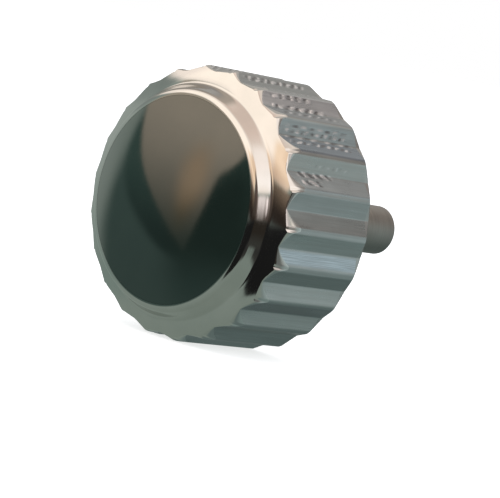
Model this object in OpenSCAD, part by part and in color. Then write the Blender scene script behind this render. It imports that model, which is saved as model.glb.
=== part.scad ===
// Screw-down watch crown: a fluted head that slides on a sprung, hexagon-headed post.
// The post's free end is at the origin and +X runs along the axis, out through the face.
// The head is drawn as the spring holds it, pushed out to its stop.

/* [Head] */
// Diameter over the ridges between the flutes
head_d = 7; // [6.2:0.1:8.5]
// From the rim of the face back to the edge of the skirt
head_h = 3.67; // [3.4:0.01:4.2]
// Radius of the polished shoulder's curve
shoulder_r = 1.67; // [1.5:0.01:2]
// Slope of the shoulder where it meets the ridges, 0 being square to the axis
shoulder_tilt = 34; // [30:0.5:38]
// From the rim of the face back to where the ridges start
shoulder_edge = 0.65; // [0.58:0.01:0.72]
// Thickness of the wall behind the face disc
front_wall = 0.45; // [0.3:0.05:0.7]
// Wall of the skirt under the middle of a flute
skirt_wall = 0.49; // [0.4:0.01:0.6]
// Chamfer on the edges at the back of the skirt
skirt_chamfer = 0.14; // [0.05:0.01:0.15]

/* [Flutes] */
// Number of flutes, even so that the crown lies level
flute_count = 22; // [18:2:26]
// Depth of a flute at its middle
flute_depth = 0.15; // [0.12:0.01:0.2]
// Width of the ridge left between two flutes
ridge_w = 0.14; // [0.1:0.01:0.24]
// Depth of the bevel on the ridges' front ends
ridge_bevel = 0.04; // [0.02:0.01:0.06]
// Length of that bevel along the ridges
ridge_bevel_len = 0.2; // [0.1:0.02:0.4]

/* [Face] */
// Width of the shoulder, from the raised rim out to the ridges
shoulder_w = 0.61; // [0.55:0.01:0.8]
// Thickness of the face disc at its edge
disc_t = 0.3; // [0.2:0.05:0.4]
// Height of the dome on the face disc
dome_h = 0.22; // [0.1:0.02:0.3]
// Width of the raised rim that frames the face disc
rim_w = 0.27; // [0.22:0.01:0.32]
// Radius of the round on the rim's outer edge
rim_round = 0.31; // [0.2:0.01:0.34]

/* [Case thread] */
// Pitch of the case tube's thread
case_thread_pitch = 0.35; // [0.25:0.05:0.4]
// Wall of the threaded core outside its thread
core_wall = 0.35; // [0.25:0.05:0.4]
// Thickness of the core's front web
web_t = 0.35; // [0.3:0.05:0.5]
// How far the core lies inside the skirt
core_setback = 0.15; // [0.1:0.05:0.4]
// Depth of the groove behind the thread, beyond the thread's outer diameter
relief_depth = 0.05; // [0.03:0.01:0.1]
// Thickness of the flat gasket
gasket_t = 0.35; // [0.25:0.05:0.5]
// Thickness of the slip washer on the gasket
slip_washer_t = 0.12; // [0.1:0.01:0.2]

/* [Hub] */
// Wall of the hub outside the flats of its hexagonal bore
hub_wall = 0.48; // [0.44:0.01:0.55]
// How far the hub stands out behind the skirt
hub_reach = 0.98; // [0.8:0.01:1.2]
// Chamfer round the hub's mouth
hub_chamfer = 0.1; // [0.05:0.01:0.12]
// Width of the flange that holds the hub in the head
flange_w = 0.35; // [0.25:0.05:0.45]
// Thickness of the flange
flange_t = 0.15; // [0.1:0.01:0.2]
// Cord diameter of the two ring seals
seal_cord = 0.32; // [0.28:0.01:0.36]
// How far the ring seals stand out of the hub
seal_squeeze = 0.1; // [0.06:0.01:0.12]
// From the hub's mouth to the middle of the first ring seal
seal_from_mouth = 0.6; // [0.5:0.05:0.8]
// Distance between the two ring seals
seal_spacing = 0.7; // [0.5:0.05:0.9]

/* [Post] */
// Diameter of the post's shank
post_d = 1.3; // [1.2:0.05:1.4]
// From the post's free end to the back edge of the skirt
post_reach = 4.38; // [4.2:0.01:5.2]
// How far the flats of the post's hexagonal head stand out from the shank
hex_step = 0.15; // [0.12:0.01:0.2]
// Length of the hexagonal head
hex_len = 0.7; // [0.5:0.05:0.9]
// Length of the pip that centres the spring
pip_len = 0.35; // [0.2:0.05:0.5]
// Chamfer at the post's free end
post_chamfer = 0.1; // [0.05:0.01:0.15]
// Outer diameter of the stem's thread
stem_thread_d = 0.9; // [0.8:0.05:1]
// Pitch of the stem's thread
stem_thread_pitch = 0.225; // [0.175:0.025:0.25]
// Depth of the tapped hole for the stem
stem_hole_depth = 2; // [1.5:0.1:2.5]
// Thickness of the ring pressed in the hub's mouth
ring_t = 0.3; // [0.2:0.05:0.4]
// Width of the ring pressed in the hub's mouth
ring_w = 0.32; // [0.3:0.01:0.36]

/* [Spring] */
// Wire diameter
wire_d = 0.18; // [0.14:0.01:0.2]
// Number of curls
coil_turns = 4; // [3:0.5:4]
// Thickness of the washer between the spring and the head
thrust_washer_t = 0.15; // [0.1:0.01:0.25]
// Hole through the washer
thrust_washer_hole = 0.6; // [0.4:0.05:0.9]

/* [Clearances] */
// Radial gap between the post and the ring it slides in
shank_gap = 0.03; // [0.02:0.005:0.05]
// Gap at each flat between the hexagon and its bore
hex_gap = 0.02; // [0.01:0.005:0.04]
// Gap between pieces that are pressed or cemented together
press_gap = 0.01; // [0.005:0.001:0.015]
// Gap between soft seals and what they bear on
seal_gap = 0.02; // [0.01:0.005:0.04]
// Gap between the coil and the flats of the hub's bore
coil_gap = 0.11; // [0.08:0.01:0.15]
// Gap between the coil and the pip inside it
pip_gap = 0.08; // [0.05:0.01:0.12]
// Gap at each end of the spring and at the post's stop
rest_gap = 0.02; // [0.01:0.005:0.03]

/* [Hidden] */
$fn = 96;
// Overlap that carries a cut past the face it starts from
cut = 0.5;
// Sides of a hexagon
hex_sides = 6;
// Rings in one curl of the spring and sides of its wire
curl_rings = 8;
wire_sides = 6;
// Share of the pitch between an inside thread's crests and the thread's outer diameter
thread_crest = 1.0825;
// Half the angle of a twist drill's point
drill_half_angle = 59;

// Radii of the head and its face
head_r = head_d / 2;
rim_r = head_r - shoulder_w;
disc_r = rim_r - rim_w;
dome_radius = (disc_r * disc_r + dome_h * dome_h) / (2 * dome_h);

// Radii along the post and of what surrounds it
post_r = post_d / 2;
hex_af = post_d + 2 * hex_step;
hex_r = hex_af / 2 / cos(180 / hex_sides);
hex_bore_af = hex_af + 2 * hex_gap;
hex_bore_r = hex_bore_af / 2 / cos(180 / hex_sides);
stem_minor_r = (stem_thread_d - thread_crest * stem_thread_pitch) / 2;
ring_bore_r = post_r + shank_gap;
ring_r = ring_bore_r + ring_w;
washer_r = hex_bore_af / 2 - hex_gap;
coil_r = hex_bore_af / 2 - coil_gap - wire_d / 2;
pip_r = coil_r - wire_d / 2 - pip_gap;
hub_r = hex_bore_af / 2 + hub_wall;
flange_r = hub_r + flange_w;

// Radii of the core and its thread, worked inwards from the skirt
shell_bore_r = head_r - flute_depth - skirt_wall;
core_r = shell_bore_r - press_gap;
case_thread_r = core_r - core_wall;
case_minor_r = case_thread_r - thread_crest * case_thread_pitch / 2;
relief_r = case_thread_r + relief_depth;
core_lead = relief_r - case_minor_r;

// Places along the axis, from the post's free end to the face
skirt_x = post_reach;
face_x = skirt_x + head_h;
seat_x = face_x - disc_t - press_gap;
floor_x = seat_x - front_wall;
core_x = skirt_x + core_setback;
web_x = floor_x - web_t;
gasket_x = web_x - seal_gap - gasket_t;
slip_washer_x = gasket_x - seal_gap - slip_washer_t;
relief_x = slip_washer_x - seal_gap;
flange_x = floor_x - press_gap - flange_t;
mouth_x = skirt_x - hub_reach;
stop_x = mouth_x + ring_t;
hex_x = stop_x + rest_gap;
spring_x = hex_x + hex_len + rest_gap;
thrust_x = floor_x - press_gap - thrust_washer_t;
spring_end_x = thrust_x - rest_gap;

// Ring seals: the groove's floor, the cord's centre line and the two places
groove_r = hub_r + seal_squeeze - seal_cord - seal_gap;
seal_r = hub_r + seal_squeeze - seal_cord / 2;
groove_w = seal_cord + 2 * seal_gap;
seal_xs = [mouth_x + seal_from_mouth, mouth_x + seal_from_mouth + seal_spacing];

// Centre of the shoulder's curve
shoulder_cr = head_r - shoulder_r * sin(shoulder_tilt);
shoulder_cx = face_x - shoulder_edge - shoulder_r * cos(shoulder_tilt);
// Where the shoulder's curve ends at the bevel on the ridges
bevel_r = head_r - ridge_bevel;
bevel_x = shoulder_cx + sqrt(shoulder_r * shoulder_r - (bevel_r - shoulder_cr) * (bevel_r - shoulder_cr));

// Flutes: the cutter passes through both edges of the ridge and the flute's floor
flute_pitch = 360 / flute_count;
flute_half_angle = (flute_pitch - 2 * asin(ridge_w / 2 / head_r)) / 2;
flute_half_w = head_r * sin(flute_half_angle);
flute_sag = flute_depth - head_r * (1 - cos(flute_half_angle));
cutter_r = (flute_half_w * flute_half_w + flute_sag * flute_sag) / (2 * flute_sag);
cutter_at = head_r - flute_depth + cutter_r;

// The spring's centre line, and the least gap between one curl's surface and the next's
coil_length = spring_end_x - spring_x - wire_d;
coil_pitch = coil_length / coil_turns;
rings = round(coil_turns * curl_rings);
coil_gaps = [
  for (k = [0:rings - curl_rings], j = [-2:2])
    if (k + curl_rings + j <= rings)
      norm(wire_centre((k + curl_rings + j) / rings) - wire_centre(k / rings)) - wire_d
];
echo(spring_least_gap_mm = min(coil_gaps));

// Turns a shape drawn along +Z so that it lies along +X
module along_x() {
  rotate([0, 90, 0])
    children();
}

// Revolves a profile whose X is the radius and whose Y is the place along the axis
module turned() {
  along_x()
    rotate_extrude()
      children();
}

// A rectangle of a profile, from one radius and place to another
module band(r_from, r_to, x_from, x_to) {
  translate([r_from, x_from])
    square([r_to - r_from, x_to - x_from]);
}

// A flat ring
module washer(r_in, r_out, x_from, thickness) {
  turned()
    band(r_in, r_out, x_from, x_from + thickness);
}

// What the shoulder's curve takes off the corner of the head
module shoulder_corner() {
  difference() {
    band(shoulder_cr, head_r + cut, shoulder_cx, face_x + cut);
    translate([shoulder_cr, shoulder_cx])
      circle(r = shoulder_r);
  }
}

// Breaks an edge at the back of a profile: side is 1 for an outer edge and -1 for a bore's
module edge_break(r, x, size, side) {
  polygon([
    [r - side * size, x],
    [r - side * size, x - cut],
    [r + side * cut, x - cut],
    [r + side * cut, x + size + cut]
  ]);
}

// What the bevel takes off the front ends of the ridges
module ridge_end() {
  polygon([
    [bevel_r, bevel_x + cut],
    [bevel_r, bevel_x],
    [head_r, bevel_x - ridge_bevel_len],
    [head_r + cut, bevel_x - ridge_bevel_len],
    [head_r + cut, bevel_x + cut]
  ]);
}

module shell_profile() {
  difference() {
    union() {
      difference() {
        band(0, head_r, skirt_x, shoulder_cx + shoulder_r);
        shoulder_corner();
        ridge_end();
      }
      band(0, rim_r, floor_x, face_x - rim_round);
      band(0, rim_r - rim_round, floor_x, face_x);
      translate([rim_r - rim_round, face_x - rim_round])
        circle(r = rim_round);
    }
    band(-cut, disc_r + press_gap, seat_x, face_x + cut);
    band(-cut, shell_bore_r, skirt_x - cut, floor_x);
    edge_break(head_r, skirt_x, skirt_chamfer, 1);
    edge_break(shell_bore_r, skirt_x, skirt_chamfer, -1);
  }
}

module crown_shell() {
  color("silver")
    difference() {
      turned()
        shell_profile();
      for (i = [0:flute_count - 1])
        rotate([i * flute_pitch, 0, 0])
          translate([skirt_x - cut, 0, cutter_at])
            along_x()
              cylinder(r = cutter_r, h = head_h + 2 * cut);
    }
}

module face_disc() {
  color("darkslategray")
    turned()
      intersection() {
        band(0, disc_r, seat_x + press_gap, face_x + dome_h + cut);
        translate([0, face_x + dome_h - dome_radius])
          circle(r = dome_radius, $fn = 4 * $fn);
      }
}

module threaded_core() {
  color("gainsboro")
    turned()
      polygon([
        [hub_r + press_gap, web_x],
        [relief_r, web_x],
        [relief_r, relief_x],
        [case_minor_r, relief_x - core_lead],
        [case_minor_r, core_x + core_lead],
        [relief_r, core_x],
        [core_r, core_x],
        [core_r, floor_x - press_gap],
        [flange_r + press_gap, floor_x - press_gap],
        [flange_r + press_gap, flange_x - press_gap],
        [hub_r + press_gap, flange_x - press_gap]
      ]);
}

module hub() {
  color("lightgray")
    difference() {
      turned()
        difference() {
          union() {
            band(0, hub_r, mouth_x, flange_x + flange_t);
            band(0, flange_r, flange_x, flange_x + flange_t);
          }
          edge_break(hub_r, mouth_x, hub_chamfer, 1);
          for (x = seal_xs)
            band(groove_r, hub_r + cut, x - groove_w / 2, x + groove_w / 2);
        }
      translate([mouth_x - cut, 0, 0])
        along_x()
          cylinder(r = hex_bore_r, h = floor_x - mouth_x + 2 * cut, $fn = hex_sides);
      translate([mouth_x - cut, 0, 0])
        along_x()
          cylinder(r = ring_r + press_gap, h = ring_t + cut);
    }
}

module tube_gasket() {
  color("dimgray")
    washer(hub_r + seal_gap, relief_r - seal_gap, gasket_x, gasket_t);
}

module slip_washer() {
  color("ivory")
    washer(hub_r + seal_gap, relief_r - seal_gap, slip_washer_x, slip_washer_t);
}

module ring_seal(x) {
  color("black")
    turned()
      translate([seal_r, x])
        circle(d = seal_cord);
}

module hub_seal_outer() {
  ring_seal(seal_xs[0]);
}

module hub_seal_inner() {
  ring_seal(seal_xs[1]);
}

module retaining_ring() {
  color("darkgray")
    washer(ring_bore_r, ring_r, mouth_x, ring_t);
}

module thrust_washer() {
  color("goldenrod")
    washer(thrust_washer_hole / 2, washer_r, thrust_x, thrust_washer_t);
}

// The middle of the wire at a share of the way along the spring
function wire_centre(share) =
  let (turn = 360 * coil_turns * share)
  [spring_x + wire_d / 2 + coil_length * share, coil_r * cos(turn), coil_r * sin(turn)];

// One ring of points round the wire, at a share of the way along the spring
function wire_ring(share) =
  let (
    turn = 360 * coil_turns * share,
    middle = wire_centre(share),
    lead = atan(coil_pitch / (2 * PI * coil_r))
  )
  [
    for (i = [0:wire_sides - 1])
      let (
        out = wire_d / 2 * cos(360 * i / wire_sides),
        over = wire_d / 2 * sin(360 * i / wire_sides)
      )
      middle + [
        over * cos(lead),
        out * cos(turn) + over * sin(lead) * sin(turn),
        out * sin(turn) - over * sin(lead) * cos(turn)
      ]
  ];

module return_spring() {
  points = [for (k = [0:rings]) each wire_ring(k / rings)];
  sides = [
    for (k = [0:rings - 1], i = [0:wire_sides - 1])
      let (
        a = k * wire_sides + i,
        b = k * wire_sides + (i + 1) % wire_sides
      )
      each [[a, b, b + wire_sides], [a, b + wire_sides, a + wire_sides]]
  ];
  last = rings * wire_sides;
  first_cap = [for (i = [1:wire_sides - 2]) [0, i + 1, i]];
  last_cap = [for (i = [1:wire_sides - 2]) [last, last + i, last + i + 1]];
  color("slategray")
    polyhedron(points = points, faces = concat(sides, first_cap, last_cap));
}

module post() {
  color("gray")
    difference() {
      union() {
        turned()
          polygon([
            [0, 0],
            [post_r - post_chamfer, 0],
            [post_r, post_chamfer],
            [post_r, hex_x + hex_len / 2],
            [0, hex_x + hex_len / 2]
          ]);
        translate([hex_x, 0, 0])
          along_x()
            cylinder(r = hex_r, h = hex_len, $fn = hex_sides);
        turned()
          band(0, pip_r, hex_x + hex_len / 2, hex_x + hex_len + pip_len);
      }
      translate([-cut, 0, 0])
        along_x()
          cylinder(r = stem_minor_r, h = stem_hole_depth + cut);
      translate([stem_hole_depth, 0, 0])
        along_x()
          cylinder(r1 = stem_minor_r, r2 = 0, h = stem_minor_r / tan(drill_half_angle));
    }
}

crown_shell();
face_disc();
threaded_core();
hub();
tube_gasket();
slip_washer();
hub_seal_outer();
hub_seal_inner();
retaining_ring();
thrust_washer();
return_spring();
post();
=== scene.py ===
import math

import bmesh
import bpy
import numpy as np
from mathutils import Matrix, Vector


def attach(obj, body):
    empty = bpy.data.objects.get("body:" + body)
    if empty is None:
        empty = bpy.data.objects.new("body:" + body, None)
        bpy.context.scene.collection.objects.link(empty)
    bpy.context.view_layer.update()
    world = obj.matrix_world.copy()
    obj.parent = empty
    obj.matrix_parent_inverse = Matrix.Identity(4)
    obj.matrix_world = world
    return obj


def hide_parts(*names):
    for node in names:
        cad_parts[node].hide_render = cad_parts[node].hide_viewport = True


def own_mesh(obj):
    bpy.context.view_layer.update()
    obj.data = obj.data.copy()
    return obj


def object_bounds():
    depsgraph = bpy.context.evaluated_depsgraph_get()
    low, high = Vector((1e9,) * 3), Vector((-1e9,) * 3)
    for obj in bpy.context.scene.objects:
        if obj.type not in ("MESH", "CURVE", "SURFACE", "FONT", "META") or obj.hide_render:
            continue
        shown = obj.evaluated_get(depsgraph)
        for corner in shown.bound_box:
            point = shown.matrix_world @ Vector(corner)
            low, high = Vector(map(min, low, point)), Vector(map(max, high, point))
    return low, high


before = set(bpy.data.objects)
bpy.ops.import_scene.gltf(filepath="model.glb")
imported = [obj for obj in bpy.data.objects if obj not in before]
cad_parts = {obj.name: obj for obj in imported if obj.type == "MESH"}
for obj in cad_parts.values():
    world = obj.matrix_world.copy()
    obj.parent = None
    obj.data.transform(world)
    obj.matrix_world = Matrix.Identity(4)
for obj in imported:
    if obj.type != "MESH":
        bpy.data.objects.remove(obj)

cad_box = [list(corner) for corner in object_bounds()]

MM = 0.001
TAU = 2 * math.pi

# Sizes in millimetres. The CAD model has the same ones, but for the forms of the rim, the flutes'
# walls and the ridges' ends. Names in _R are radii and names in _X are places along the axis; T is a
# thickness, W a width, AF the distance across a hexagon's flats.

# The head, with its shoulder (a curve of SHOULDER_R round SHOULDER_CR, SHOULDER_CX)
HEAD_R = 3.5
SKIRT_X = 4.38
SKIRT_CHAMFER = 0.14
FACE_X = 8.05
SHOULDER_R, SHOULDER_CR, SHOULDER_CX = 1.67, 2.56615, 6.01551
SHELL_BORE_R = 2.86

# The flutes. Their walls go from FLAT_FRONT to FLAT_BACK over a length of FLAT_OVER, where 0 is a
# round flute and 1 two flat walls. LAND is the angle from a flute's middle to where flat walls reach
# the head's radius. CREASE and CREASE_FADE soften the line where they meet, LAND_BLEND the land.
FLUTES = 22
CUTTER_R, CUTTER_AT, FLUTE_FLOOR_R = 0.80507, 4.15507, 3.35
FLAT_FRONT, FLAT_BACK, FLAT_OVER = 0.6, 0.85, 0.8
LAND, CREASE, CREASE_FADE = math.radians(7.0), math.radians(0.35), math.radians(0.5)
LAND_BLEND = 0.012

# How far the shoulder's edge is rounded over, inwards and back: everywhere, and more at the ridges.
# On the side of a ridge that the buff meets last, SPARED of that is left out, within BUFF_TURN degrees.
EDGE_INSET, RIDGE_INSET = 0.010, 0.085
EDGE_REACH, RIDGE_REACH = 0.016, 0.38
SPARED, BUFF_TURN = 0.6, 1.3

# The raised rim: where its sloping side would meet the shoulder, how flat its top is, that side's
# slope, the depth of its inner edge, and the hollow at its foot
RIM_R, RIM_FLATNESS, RIM_SLOPE, RIM_EDGE = 2.83, 1.5, math.radians(66), 0.012
FOOT_X, FOOT_W, FOOT_RISE = 7.653, 0.06, 0.02

# The face disc, with DOME_R the radius of its dome, and the wall behind it
DISC_R, DOME_H, DOME_R = 2.62, 0.22, 15.7109
SEAT_X, SHELL_FLOOR_X = 7.74, 7.29

# The threaded core, and the gasket and slip washer in it
CORE_R, CORE_X, WEB_X = 2.85, 4.53, 6.94
CASE_THREAD_R, CASE_CREST_R, CASE_PITCH = 2.5, 2.31056, 0.35
RELIEF_R, RELIEF_X = 2.55, 6.41
GASKET_X, GASKET_T = 6.57, 0.35
SLIP_X, SLIP_T = 6.43, 0.12

# The hub and its ring seals
HUB_R, HUB_MOUTH_X, HUB_END_X, HUB_CHAMFER = 1.3, 3.4, 7.28, 0.1
HUB_BORE_R = 1.02
FLANGE_R, FLANGE_X = 1.65, 7.13
SEAL_R, SEAL_CORD, SEAL_XS = 1.24, 0.32, (4.0, 4.7)
GROOVE_R, GROOVE_W = 1.06, 0.36

# The post, the ring that stops it and the stem's thread in it
POST_R, POST_CHAMFER = 0.65, 0.1
HEX_X, HEX_END_X, PIP_R, PIP_END_X = 3.72, 4.42, 0.45, 4.77
HEX_AF, HEX_BORE_AF = 1.6, 1.64
HEX_CORNER_R, HEX_END_R = 0.905, 0.90
RING_R, RING_BORE_R, RING_T = 1.0, 0.68, 0.3
STEM_R, STEM_CREST_R, STEM_PITCH = 0.45, 0.32822, 0.225
STEM_THREAD_END, STEM_DEPTH, DRILL_POINT = 1.8, 2.0, 0.197

# The spring and its washer
SPRING_X, SPRING_END_X, COIL_R, WIRE_D = 4.44, 7.11, 0.62, 0.18
THRUST_X, THRUST_T, THRUST_HOLE_R, THRUST_R = 7.13, 0.15, 0.3, 0.8

# Gaps between pieces that are pressed together, and round the soft ones
PRESS_GAP, SEAL_GAP = 0.01, 0.02

# The floor's half-width in metres and how far under the part it lies, so that it never cuts into it
FLOOR_HALF, FLOOR_DROP = 3, 2e-6

# One pitch of a thread: share of the pitch, and height from crest (0) to root (1)
THREAD_SHAPE = [
    (0.02, 0), (0.23, 0), (0.275, 0.07), (0.54, 0.93),
    (0.585, 1), (0.665, 1), (0.71, 0.93), (0.975, 0.07),
]


# Mesh helpers. Most pieces are rows of points round the X axis, angle 0 being up (+Z).

def even_columns(count):
    return np.arange(count) * TAU / count


def ease(t):
    return t * t * (3 - 2 * t)


def bezier(a, b, c, t):
    return (1 - t) ** 2 * a + 2 * t * (1 - t) * b + t * t * c


def rounded(profile, radius=0.015, steps=3):
    """Rounds the corners of a closed profile of (r, x) points; a third number is that corner's radius."""
    points, out = [np.array(p[:2], float) for p in profile], []
    for i, p in enumerate(points):
        size = profile[i][2] if len(profile[i]) > 2 else radius
        before, after = points[i - 1] - p, points[(i + 1) % len(points)] - p
        lb, la = np.linalg.norm(before), np.linalg.norm(after)
        before, after = before / lb, after / la
        half = math.acos(max(-1.0, min(1.0, before @ after))) / 2
        # A corner takes up less than half of either side
        cut = min(size / max(math.tan(half), 1e-3), 0.45 * lb, 0.45 * la)
        # A corner stays sharp if it has no radius, is nearly straight or lies on the axis
        if size <= 0 or half > 1.45 or p[0] < 1e-6:
            out.append(tuple(p))
            continue
        reach = cut * math.tan(half)
        centre = p + (before + after) / np.linalg.norm(before + after) * math.hypot(cut, reach)
        a, b = p + before * cut - centre, p + after * cut - centre
        turn = math.atan2(a[0] * b[1] - a[1] * b[0], a @ b)
        for k in range(steps + 1):
            t = turn * k / steps
            out.append((
                centre[0] + a[0] * math.cos(t) - a[1] * math.sin(t),
                centre[1] + a[0] * math.sin(t) + a[1] * math.cos(t),
            ))
    return out


def skin(rows, angles, closed=True, tags=None):
    """Joins rows of (radius, x), each a number or one per column, into a surface round the axis.

    Returns its vertices, its faces and each face's material index, which is its row's tag.
    """
    n = len(angles)
    sine, cosine = np.sin(angles), np.cos(angles)
    verts, faces, marks = [], [], []
    for r, x in rows:
        r, x = np.broadcast_to(r, n), np.broadcast_to(x, n)
        verts += list(zip(x, r * sine, r * cosine))
    last = len(rows) if closed else len(rows) - 1
    for k in range(last):
        a, b = k * n, (k + 1) % len(rows) * n
        for i in range(n):
            j = (i + 1) % n
            faces.append((a + i, a + j, b + j, b + i))
            marks.append(tags[k] if tags else 0)
    return verts, faces, marks


def thread(crest, root, pitch, x_from, x_to, limit, angles):
    """An inside thread, left-handed; limit(x) is the least radius there, which chamfers its ends."""
    n, per = len(angles), len(THREAD_SHAPE)
    turns = int(math.ceil((x_to - x_from) / pitch)) + 2
    verts, faces = [], []
    for t in range(turns):
        for a in angles:
            for share, height in THREAD_SHAPE:
                x = x_from + (t - 1 + share + a / TAU) * pitch
                x = min(max(x, x_from), x_to)
                r = max(crest + (root - crest) * height, limit(x))
                verts.append((x, r * math.sin(a), r * math.cos(a)))

    def at(t, i, s):
        if s >= per:
            t, s = t + 1, s - per
        if i >= n:
            t, i = t + 1, i - n
        return (t * n + i) * per + s

    for t in range(turns):
        for i in range(n):
            for s in range(per):
                face = (at(t, i, s), at(t, i + 1, s), at(t, i + 1, s + 1), at(t, i, s + 1))
                if max(face) < len(verts):
                    faces.append(face)
    return verts, faces, [0] * len(faces)


def joined(*parts):
    verts, faces, marks = [], [], []
    for v, f, m in parts:
        base = len(verts)
        verts += list(v)
        faces += [tuple(i + base for i in q) for q in f]
        marks += list(m)
    return verts, faces, marks


def hexagon(across_flats, angles, corner=None):
    """Radius of a hexagon with a corner up, its corners turned down to a radius if one is given."""
    r = across_flats / 2 / np.cos((angles % (TAU / 6)) - TAU / 12)
    return np.minimum(r, corner) if corner else r


def piece(name, shape, materials, body, node, sharp=28):
    """Makes a mesh of a (verts, faces, marks) shape in millimetres, welded, and puts it in the model."""
    verts, faces, marks = shape
    seen, points, index = {}, [], []
    # Points that are the same to 0.00001 mm become one
    for v in verts:
        key = tuple(int(round(c * 1e5)) for c in v)
        if key not in seen:
            seen[key] = len(points)
            points.append(tuple(c * MM for c in v))
        index.append(seen[key])
    clean, kinds = [], []
    for f, m in zip(faces, marks):
        f = list(dict.fromkeys(index[i] for i in f))
        if len(f) > 2:
            clean.append(f)
            kinds.append(m)
    mesh = bpy.data.meshes.new(name)
    mesh.from_pydata(points, [], clean)
    for material in materials:
        mesh.materials.append(material)
    mesh.polygons.foreach_set("material_index", kinds)
    mesh.validate()
    bm = bmesh.new()
    bm.from_mesh(mesh)
    bmesh.ops.dissolve_degenerate(bm, dist=1e-9, edges=bm.edges)
    loose = [v for v in bm.verts if not v.link_faces]
    bmesh.ops.delete(bm, geom=loose, context="VERTS")
    bmesh.ops.recalc_face_normals(bm, faces=bm.faces)
    if bm.calc_volume(signed=True) < 0:
        bmesh.ops.reverse_faces(bm, faces=bm.faces)
    bm.to_mesh(mesh)
    bm.free()
    mesh.polygons.foreach_set("use_smooth", [True] * len(mesh.polygons))
    mesh.set_sharp_from_angle(angle=math.radians(sharp))
    ob = bpy.data.objects.new(name, mesh)
    bpy.context.scene.collection.objects.link(ob)
    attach(ob, body)
    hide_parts(node)
    return ob


# Materials

class Nodes:
    """Short names for the shader nodes of a material or a world. Colours are (r, g, b)."""

    def __init__(self, holder):
        holder.use_nodes = True
        self.holder, self.tree = holder, holder.node_tree

    def add(self, kind, inputs=(), **settings):
        node = self.tree.nodes.new(kind)
        for key, value in settings.items():
            setattr(node, key, value)
        for key, value in dict(inputs).items():
            self.put(node.inputs[key], value)
        return node

    def put(self, socket, value):
        if isinstance(value, bpy.types.NodeSocket):
            self.tree.links.new(value, socket)
        elif socket.type == "RGBA":
            socket.default_value = (*value, 1)
        else:
            socket.default_value = value

    def math(self, operation, a, b=0.0):
        return self.add("ShaderNodeMath", {0: a, 1: b}, operation=operation).outputs[0]

    def times(self, a, b):
        return self.math("MULTIPLY", a, b)

    def plus(self, a, b):
        return self.math("ADD", a, b)

    def place(self):
        """Object coordinates in millimetres: the vector, then x, the radius and the angle."""
        at = self.add("ShaderNodeTexCoord").outputs["Object"]
        at = self.add("ShaderNodeVectorMath", {0: at, 1: (1000,) * 3}, operation="MULTIPLY").outputs[0]
        x, y, z = self.add("ShaderNodeSeparateXYZ", {0: at}).outputs
        r = self.math("SQRT", self.plus(self.times(y, y), self.times(z, z)))
        return at, x, r, self.math("ARCTAN2", y, z)

    def vector(self, x, y, z):
        return self.add("ShaderNodeCombineXYZ", {0: x, 1: y, 2: z}).outputs[0]

    def noise(self, vector, scale, detail=3.0, roughness=0.5):
        return self.add("ShaderNodeTexNoise", {
            "Vector": vector, "Scale": scale, "Detail": detail, "Roughness": roughness,
        }).outputs[0]

    def ramp(self, value, low, high, out_low=0.0, out_high=1.0, smooth=False):
        return self.add("ShaderNodeMapRange", {
            "Value": value, "From Min": low, "From Max": high, "To Min": out_low, "To Max": out_high,
        }, interpolation_type="SMOOTHSTEP" if smooth else "LINEAR").outputs[0]

    def mix(self, share, a, b, blend="MIX"):
        inputs = {0: share, 6: a, 7: b}
        return self.add("ShaderNodeMix", inputs, data_type="RGBA", blend_type=blend).outputs[2]

    def bump(self, height, distance_mm, normal=None):
        """Height is about 0 to 1 and stands for distance_mm of relief."""
        inputs = {"Height": height, "Distance": distance_mm * MM, "Strength": 1.0}
        if normal:
            inputs["Normal"] = normal
        return self.add("ShaderNodeBump", inputs).outputs[0]

    def set(self, **values):
        """Sets the Principled BSDF's inputs and returns the material."""
        for key, value in values.items():
            self.put(self.tree.nodes["Principled BSDF"].inputs[key.replace("_", " ")], value)
        return self.holder


def material(name):
    return Nodes(bpy.data.materials.new(name))


def polished_steel():
    n = material("polished_steel")
    at, x, r, angle = n.place()
    swirl = n.noise(n.vector(n.times(angle, 1.2), n.times(r, 40), n.times(x, 40)), 1.0, 4, 0.6)
    cloud = n.noise(at, 1.1, 3)
    base = n.mix(n.ramp(cloud, 0.35, 0.7), (0.60, 0.60, 0.575), (0.66, 0.65, 0.625))
    rough = n.plus(n.ramp(cloud, 0.3, 0.7, 0.05, 0.08), n.ramp(swirl, 0.4, 0.75, 0.0, 0.04))
    return n.set(Base_Color=base, Metallic=1.0, Roughness=rough, Normal=n.bump(swirl, 0.0006))


# Rows of cutter chatter in the flutes: angle and half-height in degrees, from and to x, pitch, slant
# (mm per degree), strength and phase
CHATTER = [
    (27.2, 1.6, 5.4, 7.05, 0.32, 0.03, 1.0, 0.4),
    (32.4, 2.0, 5.0, 7.2, 0.38, 0.07, 1.1, 0.1),
    (36.6, 1.7, 4.6, 7.0, 0.34, 0.08, -0.9, 0.7),
    (19.5, 2.0, 4.7, 6.9, 0.28, 0.05, 0.8, 0.3),
    (12.0, 2.2, 4.8, 7.2, 0.29, 0.05, 1.0, 0.8),
    (44.4, 1.0, 4.6, 7.25, 0.60, 0.04, 0.6, 0.2),
    (46.6, 1.3, 4.8, 7.3, 0.36, 0.06, -0.8, 0.6),
    (49.3, 1.2, 4.6, 7.3, 0.52, 0.05, 0.7, 0.1),
    (52.0, 1.4, 4.7, 7.25, 0.36, 0.07, -0.9, 0.4),
    (66.2, 1.9, 5.7, 7.15, 0.36, -0.08, 1.2, 0.9),
    (69.8, 1.9, 6.15, 7.1, 0.40, -0.07, 1.2, 0.5),
    (62.0, 1.5, 5.0, 6.6, 0.32, 0.04, 0.25, 0.2),
]

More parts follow.
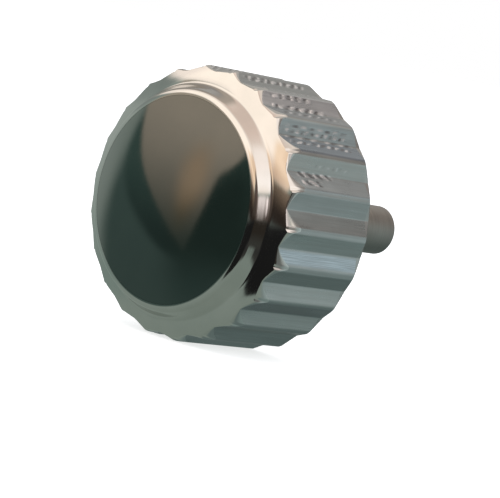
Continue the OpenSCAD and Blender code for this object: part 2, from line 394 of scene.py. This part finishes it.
# Painted highlights and painted shade on single walls of the flutes, each wall's colour made lighter or
# darker to stand for the light it mirrors: angle in degrees and colour
PAINTED_WALL_LIGHT = [
    (4.1, (0.86, 0.88, 0.89)), (12.3, (0.83, 0.84, 0.86)), (20.4, (0.96, 0.95, 1.0)),
    (28.7, (1.22, 1.20, 1.26)), (36.8, (0.81, 0.83, 0.88)), (45.0, (1.08, 1.24, 1.32)),
    (53.2, (0.66, 0.73, 0.84)), (61.4, (0.95, 0.94, 0.92)), (77.8, (0.90, 0.90, 0.90)),
    (69.5, (1.10, 1.18, 1.24)), (85.9, (0.86, 0.86, 0.86)), (118.6, (1.20, 1.17, 1.16)),
    (126.8, (0.85, 0.83, 0.85)), (135.0, (1.26, 1.21, 1.21)),
]
# Angle of the flute wall that is finely scored and also carries a painted bluish highlight
HIGHLIT_SCORED_WALL = 101.6


def chatter_rows(n, at, x, angle, degrees):
    """Height of the chatter, from about -1 to 1, which also sets painted glints and painted shade in the
    flutes' colour: patches out of sight, and the rows of CHATTER.
    """
    hidden = n.times(n.ramp(degrees, 4, 0), n.ramp(degrees, -180, -172))
    patch = n.times(n.ramp(n.noise(at, 0.55, 1), 0.46, 0.58, smooth=True), hidden)
    wave = n.plus(n.times(x, 24.0), n.times(n.noise(at, 2.5, 1), 3.0))
    row = n.math("SINE", n.times(angle, FLUTES * 6.0))
    height = n.times(n.times(n.math("SINE", wave), row), patch)
    unsteady = n.times(n.noise(at, 3.2, 2), 0.3)
    weight = n.ramp(n.noise(n.vector(x, n.times(angle, 14), 0.0), 2.6, 1), 0.36, 0.6, 0.35, 1.15)
    for centre, high, x_from, x_to, pitch, slant, strength, phase in CHATTER:
        off = n.math("SUBTRACT", degrees, centre)
        band = n.ramp(n.math("ABSOLUTE", off), high, high * 0.25, smooth=True)
        span = n.times(n.ramp(x, x_from, x_from + 0.25), n.ramp(x, x_to, x_to - 0.15))
        run = n.plus(n.math("SUBTRACT", x, n.times(off, slant)), unsteady)
        tick = n.math("SINE", n.plus(n.times(run, TAU / pitch), TAU * phase))
        tick = n.times(n.times(tick, n.times(weight, strength)), n.times(band, span))
        height = n.plus(height, tick)
    return height


def fluted_steel():
    n = material("fluted_steel")
    at, x, r, angle = n.place()
    degrees = n.times(angle, 180 / math.pi)
    lines = n.noise(n.vector(n.times(x, 0.9), n.times(angle, 150), n.times(r, 25)), 1.0, 4, 0.65)
    coarse = n.noise(n.vector(n.times(x, 0.35), n.times(angle, 45), 0.0), 1.0, 2)
    scores = n.noise(n.vector(n.times(x, 0.6), n.times(angle, 210), 0.0), 1.0, 2, 0.7)
    cloud = n.noise(at, 1.6, 3)
    chatter = chatter_rows(n, at, x, angle, degrees)
    steel = n.mix(n.ramp(lines, 0.3, 0.7), (0.42, 0.445, 0.435), (0.50, 0.52, 0.51))
    steel = n.mix(n.ramp(coarse, 0.4, 0.65, 0.0, 0.5), steel, (0.40, 0.41, 0.395))
    # Single walls of the flutes are made lighter or darker here: painted highlights and painted shade
    for centre, colour in PAINTED_WALL_LIGHT:
        off = n.math("ABSOLUTE", n.math("SUBTRACT", degrees, centre))
        steel = n.mix(n.ramp(off, 4.2, 3.2, smooth=True), steel, colour, "MULTIPLY")
    # The lower wall of one flute on the right side is finely scored along, and painted brighter and bluish
    # as a painted highlight
    off = n.math("ABSOLUTE", n.math("SUBTRACT", degrees, HIGHLIT_SCORED_WALL))
    scored_and_highlit = n.mix(n.ramp(scores, 0.42, 0.62), (0.44, 0.50, 0.54), (0.72, 0.80, 0.87))
    steel = n.mix(n.ramp(off, 3.4, 2.0, 0.0, 0.8, smooth=True), steel, scored_and_highlit)
    # The chatter's crests are painted nearly white and its troughs dark grey: painted glints and painted
    # shade of the tool marks
    steel = n.mix(n.ramp(chatter, 0.1, 0.7, 0.0, 0.85), steel, (0.86, 0.85, 0.86))
    base = n.mix(n.ramp(chatter, -0.1, -0.7, 0.0, 0.8), steel, (0.20, 0.195, 0.20))
    rough = n.plus(n.ramp(cloud, 0.3, 0.7, 0.25, 0.33), n.ramp(lines, 0.4, 0.75, 0.0, 0.08))
    normal = n.bump(chatter, 0.0055, n.bump(lines, 0.0022))
    return n.set(Base_Color=base, Metallic=1.0, Roughness=rough, Normal=normal)


def turned_steel(name="turned_steel", base=(0.50, 0.50, 0.48), rough=0.26, pitch=0.05):
    """A turned metal, with the tool's feed marks at a pitch in millimetres."""
    n = material(name)
    at, x, r, angle = n.place()
    feed = n.math("SINE", n.times(n.plus(x, r), TAU / pitch))
    waver = n.noise(n.vector(n.times(angle, 0.5), n.times(r, 20), n.times(x, 20)), 1.0, 3)
    dark = tuple(c * 0.84 for c in base)
    colour = n.mix(n.ramp(waver, 0.3, 0.7), dark, base)
    roughness = n.plus(n.ramp(n.noise(at, 2.0, 2), 0.3, 0.7, rough - 0.04, rough + 0.05),
                       n.ramp(waver, 0.4, 0.8, 0.0, 0.06))
    normal = n.bump(n.plus(n.times(feed, 0.25), waver), 0.0014)
    return n.set(Base_Color=colour, Metallic=1.0, Roughness=roughness, Normal=normal)


def dark_mirror():
    n = material("dark_mirror")
    at = n.place()[0]
    cloud, fine = n.noise(at, 0.9, 3), n.noise(at, 14.0, 2)
    base = n.mix(n.ramp(cloud, 0.35, 0.68), (0.405, 0.41, 0.395), (0.435, 0.435, 0.415))
    rough = n.plus(n.ramp(cloud, 0.3, 0.7, 0.04, 0.065), n.ramp(fine, 0.5, 0.8, 0.0, 0.03))
    return n.set(Base_Color=base, Metallic=1.0, Roughness=rough, Normal=n.bump(fine, 0.0001))


def rubber():
    n = material("seal_rubber")
    at = n.place()[0]
    grain = n.noise(at, 30.0, 3, 0.6)
    base = n.mix(n.ramp(n.noise(at, 3.0, 2), 0.35, 0.7), (0.022, 0.022, 0.022), (0.04, 0.039, 0.037))
    return n.set(Base_Color=base, Roughness=n.ramp(grain, 0.3, 0.7, 0.42, 0.62),
                 Normal=n.bump(grain, 0.002))


def white_plastic():
    n = material("white_plastic")
    at = n.place()[0]
    grain = n.noise(at, 22.0, 2)
    base = n.mix(n.ramp(n.noise(at, 2.5, 2), 0.35, 0.7), (0.80, 0.79, 0.75), (0.87, 0.86, 0.82))
    return n.set(Base_Color=base, Roughness=n.ramp(grain, 0.3, 0.7, 0.34, 0.46),
                 Normal=n.bump(grain, 0.001))


POLISHED, FLUTED, TURNED, MIRROR = polished_steel(), fluted_steel(), turned_steel(), dark_mirror()
POST_STEEL = turned_steel("post_steel", (0.35, 0.335, 0.305), 0.42, 0.07)
BRONZE = turned_steel("bronze", (0.60, 0.41, 0.21), 0.3, 0.06)
WIRE = turned_steel("spring_wire", (0.42, 0.42, 0.42), 0.2, 0.9)
RUBBER, PLASTIC = rubber(), white_plastic()


# The crown shell: raised rim, polished shoulder, scalloped flutes, skirt and inside

def shell_columns():
    """The shell's columns, close together at the ridges: angles, and angles from the flute's middle."""
    half = 180 / FLUTES
    marks = [0, 0.2, 0.45, 0.8, 1.4, 2.1, 2.9, 3.7, 4.5, 5.3, 6.0, 6.4, 6.7, 6.9, 7.1, 7.3, 7.6, 7.9, half]
    one = [-m for m in marks[:0:-1]] + marks[:-1]
    turns = [m + k * 2 * half for k in range(FLUTES) for m in one]
    return np.radians(np.array(turns)), np.radians(np.tile(one, FLUTES))


def flute_radius(local, flat):
    """Radius of the fluted wall, with narrow rounded lands: flat 0 is a round flute, 1 two flat walls."""
    rise = (HEAD_R * math.cos(LAND) - FLUTE_FLOOR_R) / (HEAD_R * math.sin(LAND))
    across = np.abs(local)
    across = np.sqrt(across**2 + CREASE**2) - CREASE * np.exp(-across / CREASE_FADE)
    walls = FLUTE_FLOOR_R / (np.cos(across) - rise * np.sin(across))
    arc = CUTTER_AT * np.cos(local) - np.sqrt(CUTTER_R**2 - (CUTTER_AT * np.sin(local)) ** 2)
    cut = flat * walls + (1 - flat) * np.minimum(arc, HEAD_R)
    near = np.maximum(LAND_BLEND - np.abs(cut - HEAD_R), 0) / LAND_BLEND
    return np.minimum(cut, HEAD_R) - near * near * LAND_BLEND / 4


def shoulder_x(r):
    return SHOULDER_CX + np.sqrt(SHOULDER_R**2 - (r - SHOULDER_CR) ** 2)


def crown_shell():
    polished, fluted, turned = 0, 1, 2
    angles, local = shell_columns()
    front_wall, back_wall = flute_radius(local, FLAT_FRONT), flute_radius(local, FLAT_BACK)
    seat_r = DISC_R + PRESS_GAP
    rows, tags = [], []

    def add(r, x, tag):
        rows.append((r, x))
        tags.append(tag)

    # Inside: the bore from the skirt's edge to its floor, and the recess behind the disc. Here and in
    # the pieces below, a row in the middle of a plain stretch only keeps the faces short.
    for r, x in (
        (SHELL_BORE_R + SKIRT_CHAMFER, SKIRT_X), (SHELL_BORE_R, SKIRT_X + SKIRT_CHAMFER),
        (SHELL_BORE_R, 5.5), (SHELL_BORE_R, 6.5), (SHELL_BORE_R, SHELL_FLOOR_X - 0.02),
        (SHELL_BORE_R - 0.02, SHELL_FLOOR_X), (1.4, SHELL_FLOOR_X), (0.0, SHELL_FLOOR_X),
        (0.0, SEAT_X), (1.4, SEAT_X), (seat_r, SEAT_X),
    ):
        add(r, x, turned)

    # The raised rim: from the disc's edge over its flat top to its sloping side
    add(seat_r, FACE_X - RIM_EDGE, polished)
    lean = math.asin(DISC_R / DOME_R)
    half_step = math.radians(0.4)
    x, before = FACE_X, seat_r
    for t in np.linspace(lean, RIM_SLOPE, 49):
        share = (math.sin(t) - math.sin(lean)) / (math.sin(RIM_SLOPE) - math.sin(lean))
        r = seat_r + (RIM_R - seat_r) * share ** (1 / RIM_FLATNESS)
        x -= (r - before) * math.tan(t - half_step)
        before = r
        add(r, x, polished)

    # A hollow foot runs from the rim's side out to the shoulder
    side_r = RIM_R + (x - FOOT_X) / math.tan(RIM_SLOPE)
    start_r, start_x = (RIM_R + side_r) / 2, (x + FOOT_X) / 2
    foot_r = side_r + FOOT_W
    foot_x = shoulder_x(foot_r)
    bend_x = foot_x + FOOT_RISE
    bend_r = start_r + (start_x - bend_x) / math.tan(RIM_SLOPE)
    for t in np.linspace(0, 0.9, 8):
        add(bezier(start_r, bend_r, foot_r, t), bezier(start_x, bend_x, foot_x, t), polished)

    # The shoulder, out to where each column meets the fluted wall. Its edge is rounded over, most at
    # the ridges and on that side of each which the buff meets first.
    ridge = np.clip((front_wall - FLUTE_FLOOR_R) / (HEAD_R - FLUTE_FLOOR_R), 0, 1)
    past = np.clip((np.degrees(local) + 180 / FLUTES) / BUFF_TURN, 0, 1)
    ridge *= np.where(local > 0, 1, 1 - SPARED * ease(past))
    inset, reach = EDGE_INSET + RIDGE_INSET * ridge, EDGE_REACH + RIDGE_REACH * ridge
    for share in np.linspace(0, 1, 20):
        r = foot_r + (front_wall - inset - foot_r) * share
        add(r, shoulder_x(r), polished)
    top_r, top_x = rows[-1]
    corner_x = shoulder_x(front_wall)
    down_x = corner_x - reach
    bend_r, bend_x = (top_r + 3 * front_wall) / 4, (top_x + down_x) / 4 + corner_x / 2
    for t in np.linspace(0.1, 1, 10):
        tag = polished if t < 0.95 else fluted
        add(bezier(top_r, bend_r, front_wall, t), bezier(top_x, bend_x, down_x, t), tag)

    # The flutes, rounder at the front and nearly flat after it, back to the skirt's chamfer and edge
    end_x = SKIRT_X + SKIRT_CHAMFER + 0.02
    for share in np.linspace(0.02, 1, 30):
        x = down_x + (end_x - down_x) * share
        t = np.clip((down_x - x) / FLAT_OVER, 0, 1)
        add(front_wall + (back_wall - front_wall) * ease(t), x, fluted)
    for x in np.linspace(SKIRT_X + SKIRT_CHAMFER, SKIRT_X, 7):
        add(np.minimum(back_wall, HEAD_R - SKIRT_CHAMFER + (x - SKIRT_X)), x, turned)
    return skin(rows, angles, True, tags)


piece("crown_cap", crown_shell(), [POLISHED, FLUTED, TURNED], "head", "crown_shell", 32)


# The domed face disc

def face_disc():
    back_x, edge_r = SEAT_X + PRESS_GAP, DISC_R + 0.004
    rows = [
        (0.0, back_x), (1.2, back_x), (DISC_R - 0.02, back_x), (DISC_R, back_x + 0.02),
        (DISC_R, FACE_X - 0.03), (edge_r, FACE_X - 0.02),
    ]
    centre = FACE_X + DOME_H - DOME_R
    for r in np.concatenate([[edge_r, DISC_R - 0.02], np.linspace(DISC_R - 0.05, 0, 40)]):
        rows.append((r, centre + math.sqrt(DOME_R**2 - r * r)))
    return skin(rows, even_columns(256), False)


piece("dark_face", face_disc(), [MIRROR], "head", "face_disc", 40)


# The threaded core, pressed in the skirt

def threaded_core():
    angles = even_columns(192)
    lead = RELIEF_R - CASE_CREST_R
    bore = HUB_R + PRESS_GAP
    pocket_r, pocket_x = FLANGE_R + PRESS_GAP, FLANGE_X - PRESS_GAP
    front_x = SHELL_FLOOR_X - PRESS_GAP
    outside = rounded([
        (RELIEF_R, RELIEF_X, 0), (RELIEF_R, WEB_X), (bore, WEB_X), (bore, pocket_x),
        (pocket_r, pocket_x), (pocket_r, front_x), (CORE_R, front_x, 0.05), (CORE_R, CORE_X, 0.05),
        (RELIEF_R, CORE_X, 0),
    ])
    cut = thread(
        CASE_CREST_R, CASE_THREAD_R, CASE_PITCH, CORE_X, RELIEF_X,
        lambda x: RELIEF_R - min(x - CORE_X, RELIEF_X - x, lead), angles,
    )
    return joined(skin(outside, angles, False), cut)


piece("core_cup", threaded_core(), [TURNED], "head", "threaded_core")


# The hub: hexagonal bore, two seal grooves, and its flange

def hub():
    angles = even_columns(192)
    flats = hexagon(HEX_BORE_AF, angles)
    ring_bore = RING_R + PRESS_GAP
    outline = [
        (ring_bore, HUB_MOUTH_X), (HUB_R - HUB_CHAMFER, HUB_MOUTH_X), (HUB_R, HUB_MOUTH_X + HUB_CHAMFER),
    ]
    for x in SEAL_XS:
        a, b = x - GROOVE_W / 2, x + GROOVE_W / 2
        outline += [(HUB_R, a), (GROOVE_R, a), (GROOVE_R, b), (HUB_R, b)]
    outline += [(HUB_R, FLANGE_X), (FLANGE_R, FLANGE_X), (FLANGE_R, HUB_END_X), (HUB_BORE_R, HUB_END_X)]
    # The last point only closes the profile for its corners to be rounded, and goes out again
    outline = rounded(outline + [(HUB_BORE_R - 0.03, HUB_MOUTH_X + 0.9)], 0.012)
    rows = [(r, x) for r, x in outline if r >= HUB_BORE_R - 0.005 or x <= HUB_MOUTH_X + 0.2]
    rows += [(flats, x) for x in (HUB_END_X, 6.0, 4.8, HUB_MOUTH_X + RING_T)]
    rows += [(ring_bore, HUB_MOUTH_X + RING_T)]
    return skin(rows, angles)


piece("hub_pipe", hub(), [TURNED], "head", "hub")


# Gasket, slip washer, ring seals, retaining ring and thrust washer

def washer(r_in, r_out, x, t, corner=0.02):
    section = [(r_in, x), (r_out, x), (r_out, x + t), (r_in, x + t)]
    return skin(rounded(section, corner), even_columns(160))


def ring_seal(x):
    turns = [TAU * k / 24 for k in range(24)]
    half = SEAL_CORD / 2
    return skin([(SEAL_R + half * math.cos(t), x + half * math.sin(t)) for t in turns], even_columns(128))


PACKING_R = (HUB_R + SEAL_GAP, RELIEF_R - SEAL_GAP)
piece("gasket", washer(*PACKING_R, GASKET_X, GASKET_T, 0.05), [RUBBER], "head",
      "tube_gasket")
piece("slip_ring", washer(*PACKING_R, SLIP_X, SLIP_T), [PLASTIC], "head",
      "slip_washer")
piece("seal_a", ring_seal(SEAL_XS[0]), [RUBBER], "head", "hub_seal_outer")
piece("seal_b", ring_seal(SEAL_XS[1]), [RUBBER], "head", "hub_seal_inner")
piece("mouth_ring", washer(RING_BORE_R, RING_R, HUB_MOUTH_X, RING_T), [TURNED], "head",
      "retaining_ring")
piece("bronze_washer", washer(THRUST_HOLE_R, THRUST_R, THRUST_X, THRUST_T), [BRONZE], "head",
      "thrust_washer")


# The post: tapped for the stem, with its hexagonal head and the spring's pip

def post():
    angles = even_columns(96)
    flats = hexagon(HEX_AF, angles, HEX_CORNER_R)
    face, edge = np.minimum(flats, HEX_AF / 2), np.minimum(flats, HEX_END_R)
    mouth = STEM_R + 0.02
    # The first and last points only close the profile for its corners to be rounded
    shank = rounded([(mouth, 0.0, 0.01), (POST_R, 0.0, POST_CHAMFER), (POST_R, HEX_X, 0)], 0.01, 4)[:-1]
    rows = [(mouth, 0.0)] + [(r, x) for r, x in shank if r > mouth + 0.01 and x > -1e-9]
    rows += [(POST_R, 1.2), (POST_R, 2.4), (POST_R, HEX_X - 0.02), (POST_R + 0.01, HEX_X)]
    rows += [
        (face, HEX_X), (edge, HEX_X + 0.06), (flats, HEX_X + 0.08),
        (flats, HEX_END_X - 0.08), (edge, HEX_END_X - 0.06), (face, HEX_END_X),
    ]
    rows += [
        (PIP_R + 0.02, HEX_END_X), (PIP_R, HEX_END_X + 0.02), (PIP_R, PIP_END_X - 0.06),
        (PIP_R - 0.02, PIP_END_X - 0.02), (PIP_R - 0.06, PIP_END_X), (0.0, PIP_END_X),
    ]
    cut = thread(
        STEM_CREST_R, STEM_R, STEM_PITCH, 0.0, STEM_THREAD_END,
        lambda x: max(mouth - x, STEM_CREST_R), angles,
    )
    end = [(STEM_CREST_R, STEM_THREAD_END), (STEM_CREST_R, STEM_DEPTH), (0.0, STEM_DEPTH + DRILL_POINT)]
    return joined(skin(rows, angles, False), cut, skin(end, angles, False))


piece("stem_post", post(), [POST_STEEL], "post", "post")


# The return spring: closed ends and open curls, squashed as the head is pressed in

def spring(turns=5.6, closed_turns=0.9, closed_pitch=0.32, sides=16, per_turn=48):
    length = SPRING_END_X - SPRING_X - WIRE_D
    steps = int(turns * per_turn)
    done = [0.0]
    for k in range(steps):
        t = (k + 0.5) / per_turn
        done.append(done[-1] + (closed_pitch if min(t, turns - t) < closed_turns else 1.0))
    scale = length / done[-1]
    wire_r = WIRE_D / 2 * 0.995  # just inside the solid's wire
    round_step = COIL_R * TAU / per_turn * 2
    verts, faces = [], []
    for k, d in enumerate(done):
        a = TAU * k / per_turn
        out = Vector((0, math.sin(a), math.cos(a)))
        centre = Vector((SPRING_X + WIRE_D / 2 + d * scale, 0, 0)) + out * COIL_R
        along = (done[min(k + 1, steps)] - done[max(k - 1, 0)]) * scale
        over = Vector((along, round_step * math.cos(a), -round_step * math.sin(a))).normalized().cross(out)
        for s in range(sides):
            b = TAU * s / sides
            verts.append(tuple(centre + (out * math.cos(b) + over * math.sin(b)) * wire_r))
    for k in range(steps):
        for s in range(sides):
            a, b = k * sides + s, k * sides + (s + 1) % sides
            faces.append((a, b, b + sides, a + sides))
    faces.append(tuple(range(sides)))
    faces.append(tuple(range(steps * sides, steps * sides + sides)))
    low, high = min(v[0] for v in verts), max(v[0] for v in verts)
    fit = (SPRING_END_X - SPRING_X) / (high - low)
    verts = [(SPRING_X + (x - low) * fit, y, z) for x, y, z in verts]
    return verts, faces, [0] * len(faces)


coil = piece("coil_spring", spring(), [WIRE], "post", "return_spring")
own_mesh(coil)


# Floor, light and the studio that the metal mirrors

def floor():
    half, z = FLOOR_HALF, cad_box[0][2] - FLOOR_DROP
    corners = [(-half, -half, z), (half, -half, z), (half, half, z), (-half, half, z)]
    mesh = bpy.data.meshes.new("floor")
    mesh.from_pydata(corners, [], [(0, 1, 2, 3)])
    n = material("floor")
    n.tree.nodes.clear()
    path = n.add("ShaderNodeLightPath").outputs
    seen = n.math("MAXIMUM", path["Is Glossy Ray"], path["Is Transmission Ray"])
    seen = n.math("MAXIMUM", path["Is Camera Ray"], seen)
    pale = n.add("ShaderNodeBsdfDiffuse", {"Color": (0.84, 0.84, 0.83)}).outputs[0]
    glow = n.add("ShaderNodeEmission", {"Color": (1, 1, 1), "Strength": n.times(seen, 0.7)}).outputs[0]
    both = n.add("ShaderNodeAddShader", {0: pale, 1: glow}).outputs[0]
    n.add("ShaderNodeOutputMaterial", {"Surface": both})
    mesh.materials.append(n.holder)
    ob = bpy.data.objects.new("floor", mesh)
    bpy.context.scene.collection.objects.link(ob)
    ob.visible_glossy = False


floor()

# The studio, as panels drawn one over the other. Each has its corners as (azimuth, elevation) in
# degrees, the softness of its edges in degrees, its lower and upper colour, and the elevations
# between which the colour changes.
LOW_SKY, HIGH_SKY = ((0.24, 0.29, 0.255), (0.31, 0.37, 0.335)), ((1.32, 1.17, 1.06), (0.98, 0.78, 0.68))
DARK_LEAF, BROWN_LEAF = (0.045, 0.062, 0.052), (0.46, 0.40, 0.325)
ROOM_LOW, ROOM_HIGH = (0.15, 0.20, 0.195), (0.335, 0.305, 0.29)
BLACK = (0.014, 0.014, 0.014)
PANELS = [
    # A pale green wall on the left, with a darker strip along its top
    ([(-61, -22), (-63, 20.5), (-124, 20.5), (-124, -22)], 4,
     (0.235, 0.305, 0.275), (0.41, 0.465, 0.435), (-24, 8)),
    ([(-62, 10.5), (-62, 20.5), (-114, 20.5), (-114, 10.5)], 2,
     (0.30, 0.35, 0.33), (0.27, 0.31, 0.29), (10, 20)),
    # The cream sky over the camera, white on the right, and on towards the back
    ([(-62, 22), (12, 20), (16, 48), (-66, 43)], 5,
     (1.58, 1.40, 1.24), (1.62, 1.45, 1.27), (22, 50)),
    ([(55, 19), (150, 19), (150, 50), (55, 50)], 6,
     (1.62, 1.50, 1.44), (1.40, 1.25, 1.17), (20, 50)),
    ([(128, 44), (124, 56), (-165, 68), (-150, 46)], 5,
     (1.15, 1.00, 0.90), (1.05, 0.90, 0.80), (44, 66)),
    # Its golden lower edge on the right
    ([(-29, 5), (12, 11), (40, 34), (20, 48), (-38, 40), (-38, 15)], 2,
     (0.85, 0.60, 0.44), (1.60, 1.40, 1.24), (6, 18)),
    ([(-14, 8), (14, 12), (40, 34), (-4, 27)], 3,
     (0.88, 0.60, 0.42), (1.42, 1.08, 0.80), (8, 19)),
    ([(4, 21), (26, 19), (52, 36), (30, 46)], 4,
     (1.15, 0.84, 0.60), (1.15, 0.84, 0.64), (20, 45)),
    # The dark green room round the camera, with a darker crescent and a patch low in it
    ([(-54.5, 11), (-57.5, 5), (-61.5, -2), (-62.5, -14), (-57, -24), (-49, -27), (-35, -24),
      (-21.5, -14.5), (-20, 0), (-23, 11)], 3.5,
     (0.066, 0.102, 0.092), (0.077, 0.124, 0.111), (-19, 6)),
    ([(-56, 9), (-57.8, 4), (-57.8, -0.5), (-54.8, -5), (-49.5, -8.6), (-43.5, -11.8), (-36, -13.2),
      (-27, -14.5), (-22, -14), (-20, -8), (-23, 4), (-27, 10)], 1.4,
     (0.028, 0.048, 0.043), (0.060, 0.105, 0.092), (-10, 3)),
    ([(-42, -8), (-42, -20), (-36, -22), (-27, -19), (-19, -8), (-22, 7), (-31, 6)], 6,
     (0.043, 0.073, 0.065), (0.023, 0.040, 0.034), (-17.5, -8.5)),
    # The brown leaf in the face, its upper right corner, and the golden patch in it
    ([(-59, 21), (-56.2, 6.5), (-53.9, 2), (-50.5, -1.8), (-46, -5.2), (-41, -8.8), (-37.6, -11.2),
      (-35.5, -8.8), (-34.5, -5.6), (-31.4, 0.4), (-29, 5), (-27, 13), (-36, 18), (-47, 21)], 0.9,
     DARK_LEAF, BROWN_LEAF, (-11, 11)),
    ([(-32.2, -1.5), (-29.6, 2.9), (-27.1, 5.5), (-21, 9.2), (-29, 16), (-38, 16), (-38, 4)], 0.9,
     DARK_LEAF, BROWN_LEAF, (-11, 11)),
    ([(-42, -3), (-40, -7), (-36, -4.5), (-34, 0), (-35.5, 6), (-40.5, 5)], 3,
     (0.12, 0.10, 0.06), (0.44, 0.325, 0.22), (-7, 1)),
    # A brown strip over the black flag low on the right
    ([(-23, -3), (-19, 7), (-11, 9.5), (0, 10.5), (14, 11), (60, 12), (60, -4), (10, -4)], 1.2,
     (0.03, 0.022, 0.018), (0.27, 0.195, 0.14), (0, 11)),
    ([(-21, -3), (-20, -12), (-13.5, -22), (-9, -27), (-2, -33), (6, -37.5), (16, -41), (24, -40),
      (36, -36), (60, -33), (60, -2)], 0.9,
     BLACK, BLACK, (-30, 0)),
    ([(13, 0), (14, 6), (38, 34), (64, 17), (64, 0)], 2.5,
     (0.07, 0.055, 0.045), (0.14, 0.10, 0.085), (0, 20)),
    # Bands further to the right, which the rim's side mirrors: dark, pale, and the white streak's tail
    ([(40, -33), (40, -18), (90, -20), (90, -34)], 4,
     (0.05, 0.05, 0.045), (0.03, 0.03, 0.03), (-34, -20)),
    ([(58, -2), (58, 17), (99, 17), (99, -2)], 2,
     (0.10, 0.075, 0.065), (0.42, 0.35, 0.32), (0, 16)),
    ([(97, -2), (97, 18), (124, 18), (124, -2)], 4,
     (0.40, 0.36, 0.34), (0.95, 0.84, 0.82), (0, 16)),
    ([(76, 3), (75, 18), (84, 18), (83, 3)], 2,
     (0.85, 0.75, 0.73), (1.45, 1.28, 1.25), (3, 14)),
    ([(88, -4), (86, 19), (98, 19), (93, -4)], 2,
     (0.25, 0.22, 0.20), (1.15, 1.03, 1.00), (-4, 17)),
    ([(58, -24), (58, -1), (100, -1), (100, -24)], 2,
     (0.05, 0.05, 0.045), (0.03, 0.025, 0.02), (-22, -10)),
    ([(98, -28), (98, -3), (130, -3), (130, -28)], 4,
     (0.20, 0.22, 0.21), (0.17, 0.18, 0.175), (-26, -3)),
    # A brown-grey panel high on the left, for the rim's side at the top
    ([(-91, 20), (-82, 42), (-68, 66), (-100, 74), (-140, 62), (-132, 20)], 4,
     (0.38, 0.35, 0.31), (0.56, 0.48, 0.41), (20, 66)),
    # The room behind, which the flutes mirror, with a lighter panel on each side
    ([(126, -60), (126, 44), (-168, 44), (-160, -60)], 6, ROOM_LOW, ROOM_HIGH, (-40, 30)),
    ([(176, -60), (176, 44), (-94, 46), (-112, 20), (-124, -60)], 6, ROOM_LOW, ROOM_HIGH, (-40, 30)),
    ([(-172, 12), (-172, 52), (-120, 50), (-122, 12)], 6,
     (0.52, 0.50, 0.47), (0.57, 0.55, 0.52), (10, 40)),
    ([(124, -50), (124, 20), (156, 20), (166, -44)], 7,
     (0.235, 0.31, 0.30), (0.53, 0.62, 0.63), (-44, 6)),
]


def toward(azimuth, elevation):
    a, e = math.radians(azimuth), math.radians(elevation)
    return Vector((math.cos(e) * math.cos(a), math.cos(e) * math.sin(a), math.sin(e)))


def inside_panel(n, way, corners, soft):
    """1 inside a panel and 0 outside it; its sides are parts of great circles."""
    ways = [toward(*corner) for corner in corners]
    middle = sum(ways, Vector((0, 0, 0)))
    edge = math.sin(math.radians(soft))
    inside = 1.0
    for k, corner in enumerate(ways):
        normal = ways[k - 1].cross(corner).normalized()
        if normal.dot(middle) < 0:
            normal = -normal
        off = n.add("ShaderNodeVectorMath", {0: way, 1: tuple(normal)}, operation="DOT_PRODUCT")
        inside = n.times(n.ramp(off.outputs["Value"], -edge, edge, smooth=True), inside)
    return inside


def studio():
    world = bpy.data.worlds.new("studio")
    bpy.context.scene.world = world
    n = Nodes(world)
    n.tree.nodes.clear()
    way = n.add("ShaderNodeTexCoord").outputs["Generated"]
    height = n.add("ShaderNodeSeparateXYZ", {0: way}).outputs[2]
    elevation = n.times(n.math("ARCSINE", height), 180 / math.pi)
    low = n.mix(n.ramp(elevation, -90, 20, smooth=True), *LOW_SKY)
    high = n.mix(n.ramp(elevation, 48, 76, smooth=True), *HIGH_SKY)
    colour = n.mix(n.ramp(elevation, 18, 24, smooth=True), low, high)
    for corners, soft, lower, upper, span in PANELS:
        inside = inside_panel(n, way, corners, soft)
        colour = n.mix(inside, colour, n.mix(n.ramp(elevation, *span, smooth=True), lower, upper))
    # The panels show in the metal only; the camera sees white, and the rest is lit evenly
    path = n.add("ShaderNodeLightPath").outputs
    mirrored = n.add("ShaderNodeBackground", {"Color": colour, "Strength": 1.0}).outputs[0]
    white = n.add("ShaderNodeBackground", {"Color": (1, 1, 1), "Strength": 1.0}).outputs[0]
    even = n.add("ShaderNodeBackground", {"Color": (0.93, 0.95, 1.0), "Strength": 0.85}).outputs[0]
    lit = n.add("ShaderNodeMixShader", {0: path["Is Glossy Ray"], 1: even, 2: mirrored}).outputs[0]
    clear = n.math("MAXIMUM", path["Is Camera Ray"], path["Is Transmission Ray"])
    both = n.add("ShaderNodeMixShader", {0: clear, 1: lit, 2: white}).outputs[0]
    n.add("ShaderNodeOutputWorld", {"Surface": both})


studio()


def lamp():
    data = bpy.data.lights.new("overhead", "AREA")
    data.shape, data.size = "DISK", 0.09
    data.energy = 0.02
    data.color = (1.0, 0.96, 0.9)
    ob = bpy.data.objects.new("overhead", data)
    ob.visible_glossy = False
    ob.location = (0.05, -0.01, 0.12)
    ob.rotation_mode = "QUATERNION"
    ob.rotation_quaternion = Vector(ob.location).to_track_quat("Z", "Y")
    bpy.context.scene.collection.objects.link(ob)


lamp()


def camera():
    """The camera that was fitted to the photograph: where it stands, and its axes."""
    eye = (0.061875, 0.051750, 0.0045816)
    right = Vector((-0.66789, 0.71381, 0.21076))
    down = Vector((-0.08995, 0.20369, -0.97491))
    ahead = Vector((-0.73881, -0.67009, -0.07184))
    data = bpy.data.cameras.new("camera")
    data.lens, data.sensor_width = 216, 36
    data.clip_start, data.clip_end = 0.005, 10
    ob = bpy.data.objects.new("camera", data)
    bpy.context.scene.collection.objects.link(ob)
    turn = Matrix((right, -down, -ahead)).transposed()
    ob.matrix_world = Matrix.Translation(eye) @ turn.to_4x4()
    bpy.context.scene.camera = ob


camera()
bpy.context.scene.view_settings.view_transform = "Standard"
